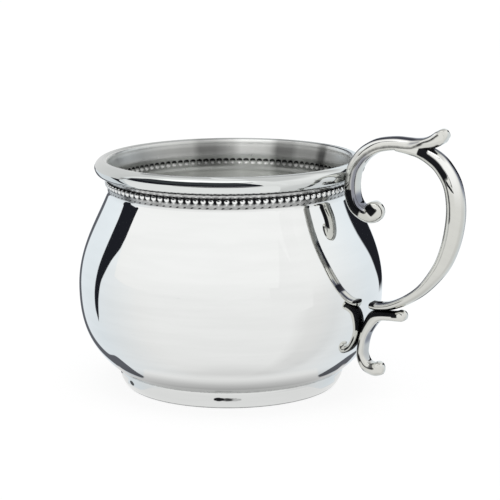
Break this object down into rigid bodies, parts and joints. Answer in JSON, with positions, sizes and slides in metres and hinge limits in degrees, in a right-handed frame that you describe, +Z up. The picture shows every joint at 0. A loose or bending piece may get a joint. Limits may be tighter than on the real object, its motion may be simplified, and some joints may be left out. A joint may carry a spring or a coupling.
{
  "type": "baby cup",
  "caption": "Low bulged metal drinking cup for a baby, with a beaded neck, a thick rolled rim, a low foot ring and an open scroll handle with a thumb spur.",
  "frame": {"origin": "on the surface the cup stands on, under the middle of the part's box", "axes": "+X from the bowl towards the handle, +Z up out of the mouth"},
  "size_m": [0.1022, 0.076, 0.0683],
  "materials": {
    "polished_silver": "mirror-polished spun silver outside, fine spin lines and a satin surface inside",
    "cast_silver": "polished casting, a little softer than the bowl, dark in its crevices"
  },
  "bodies": {
    "root": {"cup_body": "polished_silver", "rim_wire": "polished_silver", "foot_ring": "polished_silver", "handle_upper_scroll": "cast_silver", "handle_c_scroll": "cast_silver", "handle_lower_bracket": "cast_silver"}
  },
  "joints": []
}
